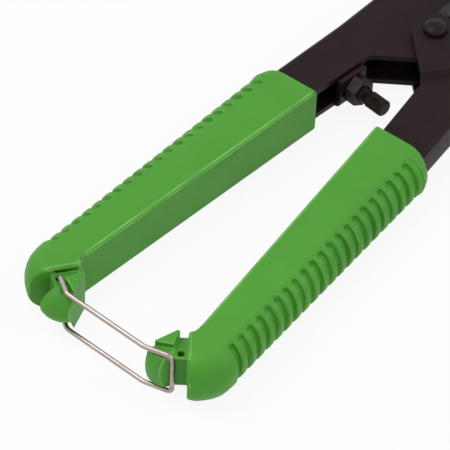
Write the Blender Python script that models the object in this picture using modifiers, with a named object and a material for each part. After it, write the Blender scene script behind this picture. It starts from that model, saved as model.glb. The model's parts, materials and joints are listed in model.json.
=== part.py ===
# Compound-action anvil pruner, stored closed and latched, lying on its side.
# X runs from the grips to the jaws, Z is up, and the centre rivet stands on the origin.
# Metres throughout. Heights called "from the middle" are measured from the tool's middle plane.
import math

import bmesh
import bpy
import numpy as np
from mathutils import Matrix, Vector

# Sheet and fits
sheet = 0.0018
lever_half_width = 0.0058
bend_radius = 0.0028
piece_gap = 0.0003

# Levers in plan, anvil side (the blade side is the mirror image)
lever_tail_x = -0.126
edge_tail_y = 0.0233
edge_kink_x = -0.0198
edge_kink_y = 0.0095
back_tail_y = 0.0312
back_grip_x = -0.042
back_grip_y = 0.0277
back_head_x = -0.015
back_head_y = 0.0252
back_front_x = 0.004
back_front_y = 0.0243
mouth_front_y = 0.0049
tongue_radius = 0.0068
nose_radius = 0.0074
web_front_x = 0.0085

# Joggle of the blade lever: a straight ramp across the lever
joggle_x = -0.0200
joggle_y = -0.0096
joggle_turn = math.radians(-38.8)
joggle_run = 0.0029

# Pins, bolts and straps
pivot_shank_radius = 0.0027
pivot_head_radius = 0.00375
pivot_head_height = 0.0021
jaw_pin_x = 0.018
jaw_pin_y = 0.013
jaw_pin_radius = 0.0024
jaw_pin_head_radius = 0.0040
jaw_pin_head_height = 0.0014
strap_bolt_x = 0.032
strap_bolt_y = 0.0065
strap_bolt_radius = 0.0024
strap_bolt_head_radius = 0.0045
strap_bolt_head_height = 0.0022
strap_radius = 0.0058
strap_thickness = 0.0020
strap_nut_across = 0.0080
flush_head_radius = 0.0043
flush_head_height = 0.0016

# Jaws
jaw_boss_radius = 0.0062
jaw_heel_x = 0.036
jaw_tip_x = 0.0640
jaw_back_y = 0.0126
jaw_tip_back_y = 0.0085
anvil_face_y = 0.0003
anvil_depth = 0.0027
anvil_tongue_half = 0.0015
anvil_tongue_depth = 0.0026
anvil_pin_radius = 0.0009
anvil_pin_rear_x = 0.042
anvil_pin_front_x = 0.057
blade_half_thickness = 0.0015
blade_bevel_depth = 0.0046
blade_edge_half = 0.00015

# Stop screw on the anvil lever and the lip it meets on the blade lever
tab_rear_x = -0.0342
tab_front_x = -0.0234
tab_top = 0.0048
lip_rear_x = -0.0320
lip_front_x = -0.0233
lip_stand = 0.0010
stop_screw_radius = 0.0024
stop_head_radius = 0.0027
stop_screw_reach = 0.0132
stop_neck_length = 0.0024
stop_chamfer = 0.00045
stop_screw_tail = 0.0045
lock_nut_across = 0.0080
lock_nut_thickness = 0.0040

# Grips
grip_half_height = 0.0081
grip_front_x = -0.0445
grip_inner_y = 0.0109
grip_inner_slope = 0.104
grip_crease_y = 0.0250
grip_crease_slope = 0.0579
grip_outer_y = 0.0322
grip_outer_slope = 0.0404
grip_corner_radius = 0.0040
grip_edge = 0.0007
groove_front_margin = 0.0075
groove_end_margin = 0.0034
groove_pitch = 0.00437
groove_half_width = 0.00120
groove_floor_half = 0.00055
groove_depth = 0.0014

# Tail of the grip: a slanted end face, a neck and a hook knob
end_corner_x = -0.1430
end_corner_y = 0.0197
neck_from = 0.0003
neck_to = 0.0083
neck_half_height = 0.0056
tail_fall_at = (0.0065, 0.0085, 0.0100, 0.0110, 0.0115)
tail_fall = (0.0, 0.0006, 0.0018, 0.0034, 0.0046)
knob_middle_out = 0.0046
knob_middle_along = 0.0040
knob_half_out = 0.0078
knob_half_along = 0.0060
knob_half_height = 0.0120
knob_flat = 0.0078
knob_corner_out = 0.0024
knob_corner_along = -0.0010
knob_back_slope = 0.264
knob_facet_slope = 0.714
slot_back_along = 0.0057
slot_slope = -0.173
slot_floor = 0.0060
lobe_middle_along = 0.0050
lobe_half_out = 0.0076
lobe_half_along = 0.0082
lobe_half_height = 0.0062
lobe_slot_along = 0.0077
lobe_slot_slope = -0.07
lobe_slot_floor = 0.0052
release_along = 0.00835
release_slope = 0.30

# Wire latch
wire_radius = 0.00075
latch_height = 0.0073
latch_pin_out = 0.0020
latch_pin_along = 0.0065
latch_pin_depth = 0.0055
latch_bend_out = 0.0096
latch_bend_along = 0.0060
latch_far_x = -0.1550
latch_far_y = -0.0133
latch_hook_radius = 0.0017
latch_bend_radius = 0.0030
latch_far_radius = 0.0040
latch_bar_out = 0.0042
latch_bar_along = 0.0094

# Opening spring
spring_wire_radius = 0.0006
spring_radius = 0.0046
spring_pitch = 0.00172
spring_turns = 3
spring_leg_x = -0.015

# Sizes that follow from those above
level = grip_half_height
lever_inner = lever_half_width - sheet
wide_inner = lever_half_width + piece_gap
wide_outer = wide_inner + sheet
joggle_rise = wide_inner - lever_inner
jaw_half = lever_inner - piece_gap - 0.0002
strap_low = jaw_half + piece_gap
strap_high = strap_low + strap_thickness
anvil_back_y = anvil_face_y + anvil_depth

for item in list(bpy.data.objects):
    bpy.data.objects.remove(item, do_unlink=True)

scene = bpy.context.scene
parts = bpy.data.collections.new("anvil_pruner")
scene.collection.children.link(parts)
cutters = bpy.data.collections.new("cutters")
scene.collection.children.link(cutters)


def paint(name, colour, roughness, metallic):
    material = bpy.data.materials.new(name)
    material.use_nodes = True
    shader = material.node_tree.nodes["Principled BSDF"]
    shader.inputs["Base Color"].default_value = (*colour, 1.0)
    shader.inputs["Roughness"].default_value = roughness
    shader.inputs["Metallic"].default_value = metallic
    material.diffuse_color = (*colour, 1.0)
    return material


def new_object(name, mesh, collection=None):
    item = bpy.data.objects.new(name, mesh)
    (collection or cutters).objects.link(item)
    return item


def bake(item):
    bpy.context.view_layer.update()
    graph = bpy.context.evaluated_depsgraph_get()
    mesh = bpy.data.meshes.new_from_object(item.evaluated_get(graph))
    old = item.data
    item.modifiers.clear()
    item.data = mesh
    bpy.data.meshes.remove(old)
    return item


def edit(item, change):
    shape = bmesh.new()
    shape.from_mesh(item.data)
    change(shape)
    shape.to_mesh(item.data)
    shape.free()
    item.data.update()
    return item


def combine(target, tool, operation):
    modifier = target.modifiers.new(tool.name, "BOOLEAN")
    modifier.operation = operation
    modifier.solver = "EXACT"
    modifier.object = tool
    bake(target)
    bpy.data.objects.remove(tool, do_unlink=True)
    edit(target, tidy)
    return target


def cut(target, tool):
    return combine(target, tool, "DIFFERENCE")


def add(target, tool):
    return combine(target, tool, "UNION")


def tidy(shape):
    bmesh.ops.remove_doubles(shape, verts=shape.verts, dist=0.000002)
    bmesh.ops.dissolve_degenerate(shape, edges=shape.edges, dist=0.000002)
    bmesh.ops.dissolve_limit(shape, angle_limit=0.002, verts=shape.verts, edges=shape.edges)


def moved(item, matrix):
    item.data.transform(matrix)
    if matrix.determinant() < 0.0:
        item.data.flip_normals()
    return item


def fillet(points, closed=True, step=18.0):
    path = []
    count = len(points)
    for index in range(count):
        *place, radius = points[index]
        corner = Vector(place)
        ends = not closed and index in (0, count - 1)
        if radius <= 0.0 or ends:
            path.append(corner)
            continue
        before = Vector(points[index - 1][:-1]) - corner
        after = Vector(points[(index + 1) % count][:-1]) - corner
        half = before.angle(after) / 2.0
        reach = radius / math.tan(half)
        reach = min(reach, 0.495 * before.length, 0.495 * after.length)
        start = corner + before.normalized() * reach
        end = corner + after.normalized() * reach
        middle = (before.normalized() + after.normalized()).normalized()
        centre = corner + middle * (reach / math.cos(half))
        sweep = math.pi - 2.0 * half
        steps = max(2, round(math.degrees(sweep) / step))
        for number in range(steps + 1):
            share = number / steps
            first = math.sin((1.0 - share) * sweep) / math.sin(sweep)
            second = math.sin(share * sweep) / math.sin(sweep)
            path.append(centre + (start - centre) * first + (end - centre) * second)
    return path


def curve_mesh(name, curve):
    holder = new_object(name + "_curve", curve)
    bpy.context.view_layer.update()
    graph = bpy.context.evaluated_depsgraph_get()
    mesh = bpy.data.meshes.new_from_object(holder.evaluated_get(graph))
    mesh.transform(holder.matrix_world)
    bpy.data.objects.remove(holder, do_unlink=True)
    bpy.data.curves.remove(curve)
    return mesh


def plate(name, outline, low, high, step=18.0):
    # A flat outline (x, y, corner radius) thickened from low to high.
    curve = bpy.data.curves.new(name, "CURVE")
    curve.dimensions = "2D"
    curve.fill_mode = "BOTH"
    curve.extrude = (high - low) / 2.0
    path = fillet(outline, True, step)
    spline = curve.splines.new("POLY")
    spline.points.add(len(path) - 1)
    for point, place in zip(spline.points, path):
        point.co = (place.x, place.y, 0.0, 1.0)
    spline.use_cyclic_u = True
    item = new_object(name, curve_mesh(name, curve))
    item.data.transform(Matrix.Translation((0.0, 0.0, (high + low) / 2.0)))

    def close(shape):
        tidy(shape)
        bmesh.ops.recalc_face_normals(shape, faces=shape.faces)

    return edit(item, close)


def block(name, low, high):
    low = Vector(low)
    high = Vector(high)
    shape = bmesh.new()
    bmesh.ops.create_cube(shape, size=1.0)
    bmesh.ops.scale(shape, vec=high - low, verts=shape.verts)
    bmesh.ops.translate(shape, vec=(high + low) / 2.0, verts=shape.verts)
    mesh = bpy.data.meshes.new(name)
    shape.to_mesh(mesh)
    shape.free()
    return new_object(name, mesh)


def turned(name, profile, steps=24):
    # A profile of (radius, height) from the top of the axis to its foot, turned about Z.
    mesh = bpy.data.meshes.new(name)
    points = [(radius, 0.0, height) for radius, height in profile]
    edges = [(number, number + 1) for number in range(len(points) - 1)]
    mesh.from_pydata(points, edges, [])
    item = new_object(name, mesh)
    screw = item.modifiers.new("turn", "SCREW")
    screw.angle = 2.0 * math.pi
    screw.steps = steps
    screw.render_steps = steps
    screw.use_merge_vertices = True
    screw.merge_threshold = 0.000001
    bake(item)

    def close(shape):
        bmesh.ops.remove_doubles(shape, verts=shape.verts, dist=0.000001)
        bmesh.ops.recalc_face_normals(shape, faces=shape.faces)

    return edit(item, close)


def rod(name, x, y, radius, low, high, steps=24):
    profile = [(0.0, high), (radius, high), (radius, low), (0.0, low)]
    return moved(turned(name, profile, steps), Matrix.Translation((x, y, 0.0)))


def dome(radius, height, foot, count=5):
    # Half profile of a domed head: (radius, height) from its crown to its rim.
    points = []
    for number in range(count + 1):
        angle = 0.5 * math.pi * number / count
        points.append((radius * math.sin(angle), foot + height * (0.25 + 0.75 * math.cos(angle))))
    points[0] = (0.0, foot + height)
    points.append((radius, foot))
    return points


def hexagon(across, bore, low, high, name):
    corner = across / math.sqrt(3.0)
    outline = []
    for number in range(6):
        angle = math.radians(60.0 * number + 30.0)
        outline.append((corner * math.cos(angle), corner * math.sin(angle), 0.0))
    nut = plate(name, outline, low, high)
    return cut(nut, rod(name + "_bore", 0.0, 0.0, bore, low - 0.002, high + 0.002))


def tube(name, path, radius, sides):
    curve = bpy.data.curves.new(name, "CURVE")
    curve.dimensions = "3D"
    curve.bevel_depth = radius
    curve.bevel_resolution = sides
    curve.use_fill_caps = True
    spline = curve.splines.new("POLY")
    spline.points.add(len(path) - 1)
    for point, place in zip(spline.points, path):
        point.co = (*place, 1.0)
    item = new_object(name, curve_mesh(name, curve))

    def close(shape):
        bmesh.ops.remove_doubles(shape, verts=shape.verts, dist=0.00001)
        bmesh.ops.recalc_face_normals(shape, faces=shape.faces)

    return edit(item, close)


def soften(item, chosen, width, segments):
    def change(shape):
        edges = [edge for edge in shape.edges if chosen(edge)]
        bmesh.ops.bevel(shape, geom=edges, offset=width, offset_type="OFFSET", segments=segments,
                        profile=0.5, affect="EDGES", clamp_overlap=True)
        bmesh.ops.recalc_face_normals(shape, faces=shape.faces)

    return edit(item, change)


def publish(item, material, axis=None):
    # Lift the piece to its height above the floor, name its collection and hang it on its axis.
    item.data.transform(Matrix.Translation((0.0, 0.0, level)))
    cutters.objects.unlink(item)
    parts.objects.link(item)
    item.data.materials.clear()
    item.data.materials.append(material)
    if axis is not None:
        item.data.transform(Matrix.Translation(-axis.location))
        item.parent = axis
    return item


def axis_at(name, x, y):
    empty = bpy.data.objects.new(name, None)
    empty.empty_display_size = 0.01
    empty.location = (x, y, level)
    parts.objects.link(empty)
    return empty


def edge_y(x):
    share = (x - lever_tail_x) / (edge_kink_x - lever_tail_x)
    return edge_tail_y + (edge_kink_y - edge_tail_y) * share


def back_y(x):
    share = (x - lever_tail_x) / (back_grip_x - lever_tail_x)
    return back_tail_y + (back_grip_y - back_tail_y) * share


def lever_outline(tongue_tail_x):
    nose_x = jaw_pin_x + nose_radius
    return [
        (lever_tail_x, edge_tail_y, 0.0),
        (edge_kink_x, edge_kink_y, 0.0015),
        (tongue_tail_x, -tongue_radius, 0.0055),
        (tongue_radius, -tongue_radius, tongue_radius * 0.97),
        (tongue_radius, mouth_front_y, 0.0006),
        (nose_x, jaw_pin_y - nose_radius, nose_radius),
        (nose_x, jaw_pin_y + nose_radius, nose_radius),
        (back_front_x, back_front_y, 0.0),
        (back_head_x, back_head_y, 0.0),
        (back_grip_x, back_grip_y, 0.0),
        (lever_tail_x, back_tail_y, 0.0),
    ]


def on_back(edge):
    # Long edges of the two flat faces along the back of the lever.
    first, second = edge.verts
    middle = (first.co + second.co) / 2.0
    flat = abs(first.co.z - second.co.z) < 0.00001
    return flat and middle.y > 0.0238 and middle.x < back_front_x and abs(first.co.x - second.co.x) > 0.004


def channel(name, tongue_tail_x):
    body = plate(name, lever_outline(tongue_tail_x), -lever_half_width, lever_half_width)
    soften(body, on_back, bend_radius, 3)
    hollow = [
        (lever_tail_x - 0.01, back_y(lever_tail_x - 0.01) - sheet, 0.0),
        (back_grip_x, back_grip_y - sheet, 0.0),
        (back_head_x, back_head_y - sheet, 0.0),
        (back_front_x, back_front_y - sheet, 0.0),
        (web_front_x, back_front_y - sheet, 0.0),
        (web_front_x, 0.04, 0.0),
        (0.06, 0.04, 0.0),
        (0.06, -0.04, 0.0),
        (lever_tail_x - 0.01, -0.04, 0.0),
    ]
    cut(body, plate(name + "_hollow", hollow, -lever_inner, lever_inner))
    return body


# Frame of the folded tab: along the lever's edge, out of its mouth, and up.
edge_run = Vector((edge_kink_x - lever_tail_x, edge_kink_y - edge_tail_y)).normalized()
mouth = Vector((edge_run.y, -edge_run.x))
tab_middle_x = (tab_rear_x + tab_front_x) / 2.0
lip_middle_x = (lip_rear_x + lip_front_x) / 2.0


def folded(name, x, half_length, stand, top):
    # An L-shaped fold: a foot on the lower flange and an upright that stands out past its edge.
    face = stand
    profile = [
        (face, top, 0.0004),
        (face, -lever_half_width, 0.0022),
        (-0.0030, -lever_half_width, 0.0),
        (-0.0030, -lever_inner - 0.0001, 0.0),
        (face - sheet, -lever_inner - 0.0001, 0.0004),
        (face - sheet, top, 0.0004),
    ]
    item = plate(name, profile, -half_length, half_length)
    origin = Vector((x, edge_y(x), 0.0))
    turn = Matrix((
        (mouth.x, 0.0, edge_run.x, origin.x),
        (mouth.y, 0.0, edge_run.y, origin.y),
        (0.0, 1.0, 0.0, 0.0),
        (0.0, 0.0, 0.0, 1.0),
    ))
    return moved(item, turn)


def stop_frame(distance):
    # Along the stop screw: Z points out of the tab, zero on the tab's outer face.
    out = Vector((mouth.x, mouth.y, 0.0))
    along = Vector((edge_run.x, edge_run.y, 0.0))
    up = Vector((0.0, 0.0, 1.0))
    origin = Vector((tab_middle_x, edge_y(tab_middle_x), 0.0)) + out * (piece_gap + sheet + distance)
    return Matrix((
        (along.x, up.x, out.x, origin.x),
        (along.y, up.y, out.y, origin.y),
        (along.z, up.z, out.z, origin.z),
        (0.0, 0.0, 0.0, 1.0),
    ))


def build_anvil_lever():
    item = channel("anvil_lever", -0.0085)
    tab_half = (tab_front_x - tab_rear_x) / 2.0
    add(item, folded("tab", tab_middle_x, tab_half, piece_gap + sheet, tab_top))
    hole = rod("tab_hole", 0.0, 0.0, stop_screw_radius + piece_gap, -0.004, 0.003)
    cut(item, moved(hole, stop_frame(0.0)))
    cut(item, rod("pivot_hole", 0.0, 0.0, pivot_shank_radius + piece_gap, -0.02, 0.02))
    cut(item, rod("pin_hole", jaw_pin_x, jaw_pin_y, jaw_pin_radius + piece_gap, -0.02, 0.02))
    return item


def joggle(shape):
    # Two cuts across the lever, then everything beyond the second moves out by the rise.
    run = Vector((math.cos(joggle_turn), math.sin(joggle_turn), 0.0))
    ahead = Vector((-run.y, run.x, 0.0))
    foot = Vector((joggle_x, joggle_y, 0.0))
    for place in (foot, foot + ahead * joggle_run):
        geometry = list(shape.verts) + list(shape.edges) + list(shape.faces)
        bmesh.ops.bisect_plane(shape, geom=geometry, dist=0.000001, plane_co=place, plane_no=ahead)
    bmesh.ops.triangulate(shape, faces=shape.faces)
    for vertex in shape.verts:
        if (vertex.co - foot).dot(ahead) > joggle_run - 0.00001:
            vertex.co.z += math.copysign(joggle_rise, vertex.co.z)


def flush_cutter(name, x, y, shank):
    gap = piece_gap
    top = -level + flush_head_height
    profile = [
        (0.0, 0.02),
        (shank + gap, 0.02),
        (shank + gap, top),
        (flush_head_radius + gap, -level),
        (flush_head_radius + gap, -level - 0.002),
        (0.0, -level - 0.002),
    ]
    return moved(turned(name, profile), Matrix.Translation((x, y, 0.0)))


def build_blade_lever():
    item = channel("blade_lever", -0.0034)
    moved(item, Matrix.Diagonal((1.0, -1.0, 1.0, 1.0)))
    edit(item, joggle)
    lip_half = (lip_front_x - lip_rear_x) / 2.0
    lip = folded("lip", lip_middle_x, lip_half, lip_stand, lever_inner - piece_gap)
    add(item, moved(lip, Matrix.Diagonal((1.0, -1.0, 1.0, 1.0))))
    cut(item, flush_cutter("pivot_hole", 0.0, 0.0, pivot_shank_radius))
    cut(item, flush_cutter("pin_hole", jaw_pin_x, -jaw_pin_y, jaw_pin_radius))
    return item


def grip_lines(x):
    # Inner side, crease, outer side and half height of the grip at one station.
    ahead = grip_front_x - x
    inner = grip_inner_y + grip_inner_slope * ahead
    outer = grip_outer_y + grip_outer_slope * ahead
    crease = grip_crease_y + grip_crease_slope * ahead
    height = grip_half_height
    if ahead < grip_corner_radius:
        left = (grip_corner_radius - ahead) / grip_corner_radius
        drop = grip_corner_radius * (1.0 - math.sqrt(max(0.0, 1.0 - left * left)))
        outer -= drop
        crease -= 0.3 * drop
        height -= 0.0004 * max(0.0, 1.0 - ahead / 0.0006)
    past = end_corner_x - x
    if past > -0.004:
        pull = min(1.0, (past + 0.004) / 0.004)
        flare = grip_inner_y + grip_inner_slope * (grip_front_x - end_corner_x) - end_corner_y
        inner -= flare * pull ** 3
    if past >= 0.0:
        inner = end_corner_y + 0.75 * past
        reach = 0.0122
        share = min(1.0, max(0.0, (past - 0.0005) / reach))
        full = grip_outer_y + grip_outer_slope * (grip_front_x - end_corner_x)
        outer = full - 0.012 * (1.0 - math.sqrt(1.0 - share * share))
        flat = np.interp(past, (0.0, 0.0035, 0.0065, 0.0089, 0.012), (0.65, 0.57, 0.36, 0.08, 0.08))
        crease = inner + (outer - inner) * float(flat)
        fall = np.interp(past, tail_fall_at, tail_fall)
        height -= float(fall)
    return inner, crease, outer, height


arc_angles = (0.0, 10.0, 28.0, 46.0, 64.0, 82.0, 98.0, 116.0, 134.0, 152.0, 170.0, 180.0)


def grip_ring(x, depth):
    inner, crease, outer, height = grip_lines(x)
    edge = min(grip_edge, 0.4 * (crease - inner))
    ring = [
        (x, inner + edge, -height),
        (x, inner, -height + edge),
        (x, inner, height - edge),
        (x, inner + edge, height),
    ]
    for angle in arc_angles:
        inside = 0.0 if angle in (0.0, 180.0) else depth
        turn = math.radians(angle)
        wide = outer - crease - inside
        tall = height - inside
        ring.append((x, crease + wide * math.sin(turn), tall * math.cos(turn)))
    return ring


def grip_body():
    stations = [(grip_front_x - step, 0.0) for step in (0.0, 0.0005, 0.0015, 0.0040)]
    groove_first_x = grip_front_x - groove_front_margin
    room = groove_first_x - end_corner_x - groove_end_margin
    for number in range(int(room / groove_pitch) + 1):
        middle = groove_first_x - groove_pitch * number
        stations.append((middle + groove_half_width, 0.0))
        stations.append((middle + groove_floor_half, groove_depth))
        stations.append((middle - groove_floor_half, groove_depth))
        stations.append((middle - groove_half_width, 0.0))
    for past in (-0.0015, 0.0, 0.0015, 0.0035, 0.0060, 0.0080, 0.0095, 0.0106, 0.0115):
        stations.append((end_corner_x - past, 0.0))
    shape = bmesh.new()
    rings = []
    for x, depth in stations:
        rings.append([shape.verts.new(place) for place in grip_ring(x, depth)])
    count = len(rings[0])
    for first, second in zip(rings, rings[1:]):
        for number in range(count):
            following = (number + 1) % count
            shape.faces.new((first[number], first[following], second[following], second[number]))
    shape.faces.new(rings[0])
    shape.faces.new(rings[-1])
    bmesh.ops.recalc_face_normals(shape, faces=shape.faces)
    mesh = bpy.data.meshes.new("grip")
    shape.to_mesh(mesh)
    shape.free()
    return new_object("grip", mesh)


# Frame of the grip's end face: out of the face, along it towards the tail, and up.
face_out = Vector((-0.6, -0.8, 0.0))
face_along = Vector((-0.8, 0.6, 0.0))


def end_place(out, along, height=0.0):
    corner = Vector((end_corner_x, end_corner_y, height))
    return corner + face_out * out + face_along * along


def to_end(item):
    turn = Matrix((
        (face_out.x, face_along.x, 0.0, end_corner_x),
        (face_out.y, face_along.y, 0.0, end_corner_y),
        (0.0, 0.0, 1.0, 0.0),
        (0.0, 0.0, 0.0, 1.0),
    ))
    return moved(item, turn)


def ball(name, middle, halves):
    shape = bmesh.new()
    bmesh.ops.create_uvsphere(shape, u_segments=24, v_segments=14, radius=1.0)
    bmesh.ops.scale(shape, vec=halves, verts=shape.verts)
    bmesh.ops.translate(shape, vec=middle, verts=shape.verts)
    mesh = bpy.data.meshes.new(name)
    shape.to_mesh(mesh)
    shape.free()
    return new_object(name, mesh)


def half_plane(name, start, slope, side, low, high):
    # A slab on one side of the slanted line through start, in the frame of the grip's end face.
    far = 0.03
    first = Vector((start[0], start[1], 0.0))
    run = Vector((1.0, slope, 0.0)).normalized()
    away = Vector((-run.y, run.x, 0.0)) * side
    outline = (
        first - run * far,
        first + run * far,
        first + (run + away) * far,
        first + (away - run) * far,
    )
    return plate(name, [(place.x, place.y, 0.0) for place in outline], low, high)


def wire_slot(low, high):
    # The channel of the pivot side's knob that the latch wire lies in.
    out = 0.02
    outline = (
        (0.0, slot_back_along, 0.0),
        (out, slot_back_along + slot_slope * out, 0.0),
        (out, lobe_slot_along + lobe_slot_slope * out, 0.0),
        (0.0, lobe_slot_along, 0.0),
    )
    return plate("wire_slot", outline, low, high)


def knob(lobed):
    # The hook: a flat-topped dome up to the wire slot. The pivot side carries on as a round lobe
    # beyond it, the other side is lower there and trimmed to let the wire off.
    far = 0.03
    middle = (knob_middle_out, knob_middle_along, 0.0)
    item = ball("knob", middle, (knob_half_out, knob_half_along, knob_half_height))
    cut(item, block("knob_top", (-far, -far, knob_flat), (far, far, far)))
    cut(item, block("knob_foot", (-far, -far, -far), (far, far, -knob_flat)))
    slot = (0.0, slot_back_along)
    if lobed:
        beyond = (0.0, slot_back_along + 0.0003)
        cut(item, half_plane("beyond_slot", beyond, slot_slope, 1.0, -far, far))
        lobe_middle = (knob_middle_out, lobe_middle_along, 0.0)
        add(item, ball("lobe", lobe_middle, (lobe_half_out, lobe_half_along, lobe_half_height)))
        cut(item, wire_slot(lobe_slot_floor, far))
        cut(item, wire_slot(-far, -lobe_slot_floor))
    else:
        cut(item, half_plane("slot_top", slot, slot_slope, 1.0, slot_floor, far))
        cut(item, half_plane("slot_foot", slot, slot_slope, 1.0, -far, -slot_floor))
        release = (latch_bar_out, release_along)
        cut(item, half_plane("release", release, release_slope, 1.0, -far, far))
    corner = (knob_corner_out, knob_corner_along)
    cut(item, half_plane("knob_back", corner, 1.0 / knob_back_slope, 1.0, -far, far))
    return item


def build_grip(name, lobed):
    item = grip_body()
    item.name = name
    gap = piece_gap
    mouth_x = grip_front_x + 0.002
    pocket = [
        (mouth_x, edge_y(mouth_x) - gap, 0.0),
        (mouth_x, back_y(mouth_x) + gap, 0.0),
        (lever_tail_x - gap, back_y(lever_tail_x) + gap, 0.0),
        (lever_tail_x - gap, edge_y(lever_tail_x) - gap, 0.0),
    ]
    hollow = plate("pocket", pocket, -lever_half_width - gap, lever_half_width + gap)
    soften(hollow, on_pocket_back, bend_radius, 3)
    cut(item, hollow)
    post = block("neck", (-0.0025, neck_from, -neck_half_height), (0.0065, neck_to, neck_half_height))
    hook = add(knob(lobed), post)
    corner = (knob_corner_out, knob_corner_along)
    cut(hook, half_plane("knob_facet", corner, knob_facet_slope, -1.0, -0.03, 0.03))
    add(item, to_end(hook))
    hole = end_place(latch_pin_out, latch_pin_along)
    cut(item, rod("latch_hole", hole.x, hole.y, wire_radius + gap, -0.02, 0.02, 16))
    item.name = name
    return item


def on_pocket_back(edge):
    first, second = edge.verts
    middle = (first.co + second.co) / 2.0
    long_edge = abs(first.co.x - second.co.x) > 0.02
    return long_edge and middle.y > (edge_y(middle.x) + back_y(middle.x)) / 2.0


def flush_rivet(name, x, y, shank, crown):
    gap = piece_gap
    profile = list(crown)
    profile.append((shank, profile[-1][1]))
    profile.append((shank, -level + flush_head_height - gap))
    profile.append((flush_head_radius - gap, -level))
    profile.append((0.0, -level))
    return moved(turned(name, profile), Matrix.Translation((x, y, 0.0)))


def build_anvil_jaw_pin():
    head = lever_half_width + piece_gap
    profile = dome(jaw_pin_head_radius, jaw_pin_head_height, head, 4)
    profile.append((jaw_pin_radius, head))
    lower = [(radius, -height) for radius, height in dome(jaw_pin_head_radius, jaw_pin_head_height, head, 4)]
    profile.append((jaw_pin_radius, -head))
    profile += lower[::-1]
    return moved(turned("anvil_jaw_pin", profile), Matrix.Translation((jaw_pin_x, jaw_pin_y, 0.0)))


def jaw_outline(face_y):
    # One jaw in plan on the anvil side: rear boss, strap boss, working face and back.
    along = Vector((strap_bolt_x - jaw_pin_x, strap_bolt_y - jaw_pin_y)).normalized()
    across = Vector((-along.y, along.x))
    pin = Vector((jaw_pin_x, jaw_pin_y))
    bolt = Vector((strap_bolt_x, strap_bolt_y))
    boss = jaw_boss_radius
    rear_outer = pin - along * boss + across * boss
    rear_inner = pin - along * boss - across * boss
    strap_boss = strap_bolt_y - 0.0005
    bolt_inner = bolt - across * strap_boss
    return [
        (rear_outer.x, rear_outer.y, boss * 0.98),
        (rear_inner.x, rear_inner.y, boss * 0.98),
        (bolt_inner.x, bolt_inner.y, 0.0),
        (bolt.x - 0.0008, 0.0005, 0.0040),
        (jaw_heel_x, 0.0005, 0.0),
        (jaw_heel_x, face_y, 0.0),
        (jaw_tip_x, face_y, 0.0006),
        (jaw_tip_x, jaw_tip_back_y, 0.0030),
        (0.052, 0.0118, 0.012),
        (0.039, jaw_back_y, 0.008),
        (bolt.x, jaw_back_y + 0.0005, 0.004),
    ]


def build_anvil_jaw():
    item = plate("anvil_jaw", jaw_outline(anvil_back_y + piece_gap), -jaw_half, jaw_half)
    gap = piece_gap
    low = (jaw_heel_x + gap, 0.0, -anvil_tongue_half - gap)
    high = (0.08, anvil_back_y + anvil_tongue_depth + gap, anvil_tongue_half + gap)
    cut(item, block("anvil_slot", low, high))
    pin_y = anvil_back_y + anvil_tongue_depth * 0.55
    for x in (anvil_pin_rear_x, anvil_pin_front_x):
        cut(item, rod("pin_hole", x, pin_y, anvil_pin_radius + gap, -0.02, 0.02, 16))
    cut(item, rod("jaw_hole", jaw_pin_x, jaw_pin_y, jaw_pin_radius + gap, -0.02, 0.02))
    cut(item, rod("bolt_hole", strap_bolt_x, strap_bolt_y, strap_bolt_radius + gap, -0.02, 0.02))
    return item


def build_anvil():
    gap = piece_gap
    face = anvil_face_y
    half = jaw_half - 0.0003
    tongue_y = anvil_back_y + anvil_tongue_depth
    profile = [
        (face, -half, 0.0006),
        (anvil_back_y, -half, 0.0),
        (anvil_back_y, -anvil_tongue_half, 0.0),
        (tongue_y, -anvil_tongue_half, 0.0),
        (tongue_y, anvil_tongue_half, 0.0),
        (anvil_back_y, anvil_tongue_half, 0.0),
        (anvil_back_y, half, 0.0),
        (face, half, 0.0006),
    ]
    item = plate("anvil", profile, jaw_heel_x + 2.0 * gap, jaw_tip_x - 0.001)
    turn = Matrix(((0.0, 0.0, 1.0, 0.0), (1.0, 0.0, 0.0, 0.0), (0.0, 1.0, 0.0, 0.0), (0.0, 0.0, 0.0, 1.0)))
    moved(item, turn)
    pin_y = anvil_back_y + anvil_tongue_depth * 0.55
    for x in (anvil_pin_rear_x, anvil_pin_front_x):
        cut(item, rod("pin_hole", x, pin_y, anvil_pin_radius + gap, -0.02, 0.02, 16))
    return item


def build_anvil_pin(name, x):
    pin_y = anvil_back_y + anvil_tongue_depth * 0.55
    return rod(name, x, pin_y, anvil_pin_radius, -jaw_half, jaw_half, 16)


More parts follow.
